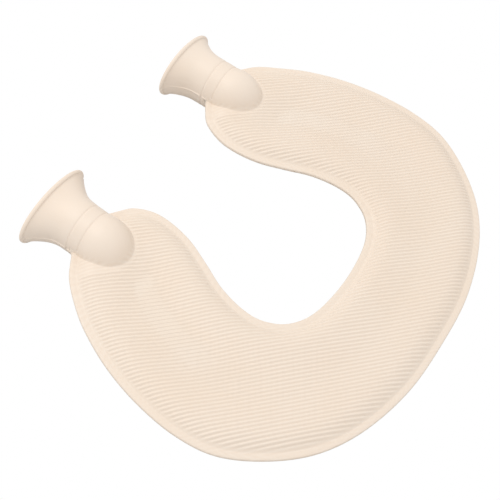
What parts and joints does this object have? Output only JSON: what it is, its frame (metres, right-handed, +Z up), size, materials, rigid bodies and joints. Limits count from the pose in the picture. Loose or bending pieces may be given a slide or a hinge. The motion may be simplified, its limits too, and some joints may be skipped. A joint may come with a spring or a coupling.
{
  "type": "u-shaped rubber hot water bottle",
  "caption": "U-shaped rubber hot water bottle lying flat and empty: hollow bag with diagonal ribs, flat rim seam, and an open funnel neck on each arm.",
  "frame": {"origin": "on the surface it lies on, under the middle of the bounding box", "axes": "+X across both arms to the right neck, +Y from the closed end of the U towards the mouths, +Z up"},
  "size_m": [0.3782, 0.3216, 0.0499],
  "materials": {
    "upper_rubber": "matte, moulded with diagonal ribs",
    "lower_rubber": "matte, plain",
    "neck_rubber": "satin, smooth"
  },
  "bodies": {
    "root": {"upper_panel": "upper_rubber", "lower_panel": "lower_rubber", "neck_right": "neck_rubber", "neck_left": "neck_rubber"}
  },
  "joints": []
}
